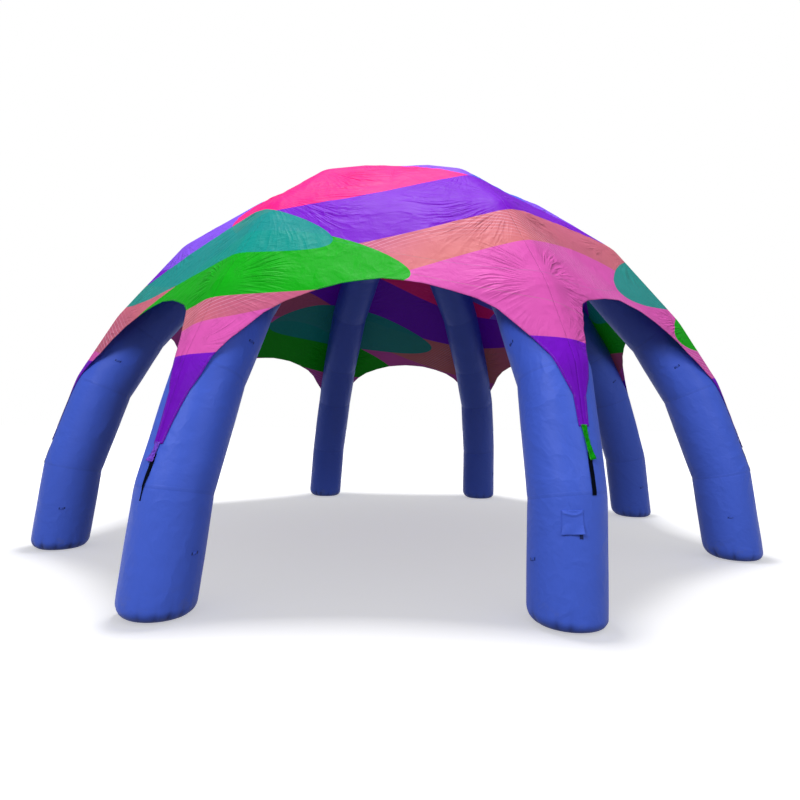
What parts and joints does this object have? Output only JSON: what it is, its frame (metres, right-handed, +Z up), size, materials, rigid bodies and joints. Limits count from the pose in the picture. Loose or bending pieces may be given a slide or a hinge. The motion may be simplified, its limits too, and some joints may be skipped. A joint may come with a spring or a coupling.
{
  "type": "inflatable spider tent",
  "caption": "Dome-shaped event tent: bent air-filled tube legs meet at a crown, and a printed canopy of gores over them is drawn down each leg by a tail and a webbing strap.",
  "frame": {"origin": "on the ground under the middle of the tent", "axes": "+Z up, -Y towards the front arch, +X to the right as seen from the front"},
  "size_m": [8.5854, 8.3328, 4.9168],
  "materials": {
    "air_tube": "smooth coated polyester, slight sheen",
    "tent_print": "colour-printed polyester, matt with a slight sheen",
    "black_webbing": "woven black polyester webbing"
  },
  "bodies": {
    "root": {"leg_1": "air_tube", "leg_2": "air_tube", "leg_3": "air_tube", "leg_4": "air_tube", "leg_5": "air_tube", "leg_6": "air_tube", "leg_7": "air_tube", "leg_8": "air_tube", "crown_chamber": "air_tube", "canopy_panel_1": "tent_print", "canopy_panel_2": "tent_print", "canopy_panel_3": "tent_print", "canopy_panel_4": "tent_print", "canopy_panel_5": "tent_print", "canopy_panel_6": "tent_print", "canopy_panel_7": "tent_print", "canopy_panel_8": "tent_print", "corner_tab_1": "tent_print", "corner_tab_2": "tent_print", "corner_tab_3": "tent_print", "corner_tab_4": "tent_print", "corner_tab_5": "tent_print", "corner_tab_6": "tent_print", "corner_tab_7": "tent_print", "corner_tab_8": "tent_print", "strap_1": "black_webbing", "strap_2": "black_webbing", "strap_3": "black_webbing", "strap_4": "black_webbing", "strap_5": "black_webbing", "strap_6": "black_webbing", "strap_7": "black_webbing", "strap_8": "black_webbing", "tie_loop_1": "air_tube", "tie_loop_2": "air_tube", "tie_loop_3": "air_tube", "tie_loop_4": "air_tube", "tie_loop_5": "air_tube", "tie_loop_6": "air_tube", "tie_loop_7": "air_tube", "tie_loop_8": "air_tube", "tie_loop_9": "air_tube", "tie_loop_10": "air_tube", "tie_loop_11": "air_tube", "tie_loop_12": "air_tube", "tie_loop_13": "air_tube", "tie_loop_14": "air_tube", "tie_loop_15": "air_tube", "tie_loop_16": "air_tube", "valve_flap": "air_tube", "valve_pull": "black_webbing"}
  },
  "joints": []
}
